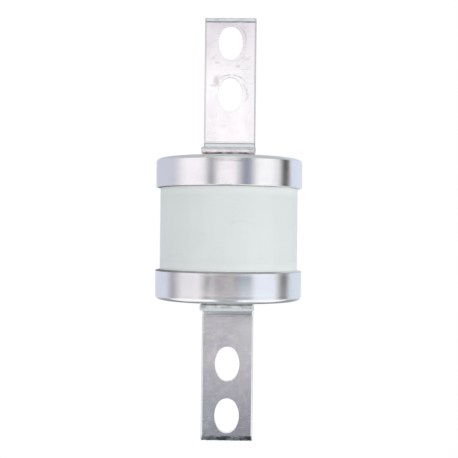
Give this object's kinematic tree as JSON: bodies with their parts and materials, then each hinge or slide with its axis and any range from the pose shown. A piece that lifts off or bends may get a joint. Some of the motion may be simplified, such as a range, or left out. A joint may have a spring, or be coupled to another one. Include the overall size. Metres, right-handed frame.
{
  "type": "fuse link",
  "caption": "Cartridge fuse link with a white ceramic barrel, plated end caps and L-shaped plated tags on its axis, whose oval holes bolt it between two terminals.",
  "frame": {"origin": "the middle of the ceramic barrel, on its axis", "axes": "+Z along the barrel's axis towards the upper tag, -Y the side to which both tags' feet point, +X to the right as seen from that side"},
  "size_m": [0.072, 0.072, 0.209],
  "materials": {
    "white_ceramic": "satin",
    "plated_cap": "satin",
    "upper_tag_plating": "satin",
    "lower_tag_plating": "satin",
    "braze_alloy": "matte",
    "plain_brass": "satin",
    "fibre": "matte",
    "silver_strip": "satin",
    "tin_alloy": "matte",
    "quartz_sand": "matte"
  },
  "bodies": {
    "root": {"ceramic_body": "white_ceramic", "upper_gasket": "fibre", "lower_gasket": "fibre", "upper_inner_cap": "plain_brass", "lower_inner_cap": "plain_brass", "filler_plug": "plain_brass", "quartz_filler": "quartz_sand", "upper_outer_cap": "plated_cap", "lower_outer_cap": "plated_cap", "upper_braze": "braze_alloy", "lower_braze": "braze_alloy", "upper_tag": "upper_tag_plating", "lower_tag": "lower_tag_plating", "fuse_element_1": "silver_strip", "fuse_element_2": "silver_strip", "fuse_element_3": "silver_strip", "fuse_element_4": "silver_strip", "fuse_element_5": "silver_strip", "fuse_element_6": "silver_strip", "solder_overlay_1": "tin_alloy", "solder_overlay_2": "tin_alloy", "solder_overlay_3": "tin_alloy", "solder_overlay_4": "tin_alloy", "solder_overlay_5": "tin_alloy", "solder_overlay_6": "tin_alloy"}
  },
  "joints": []
}
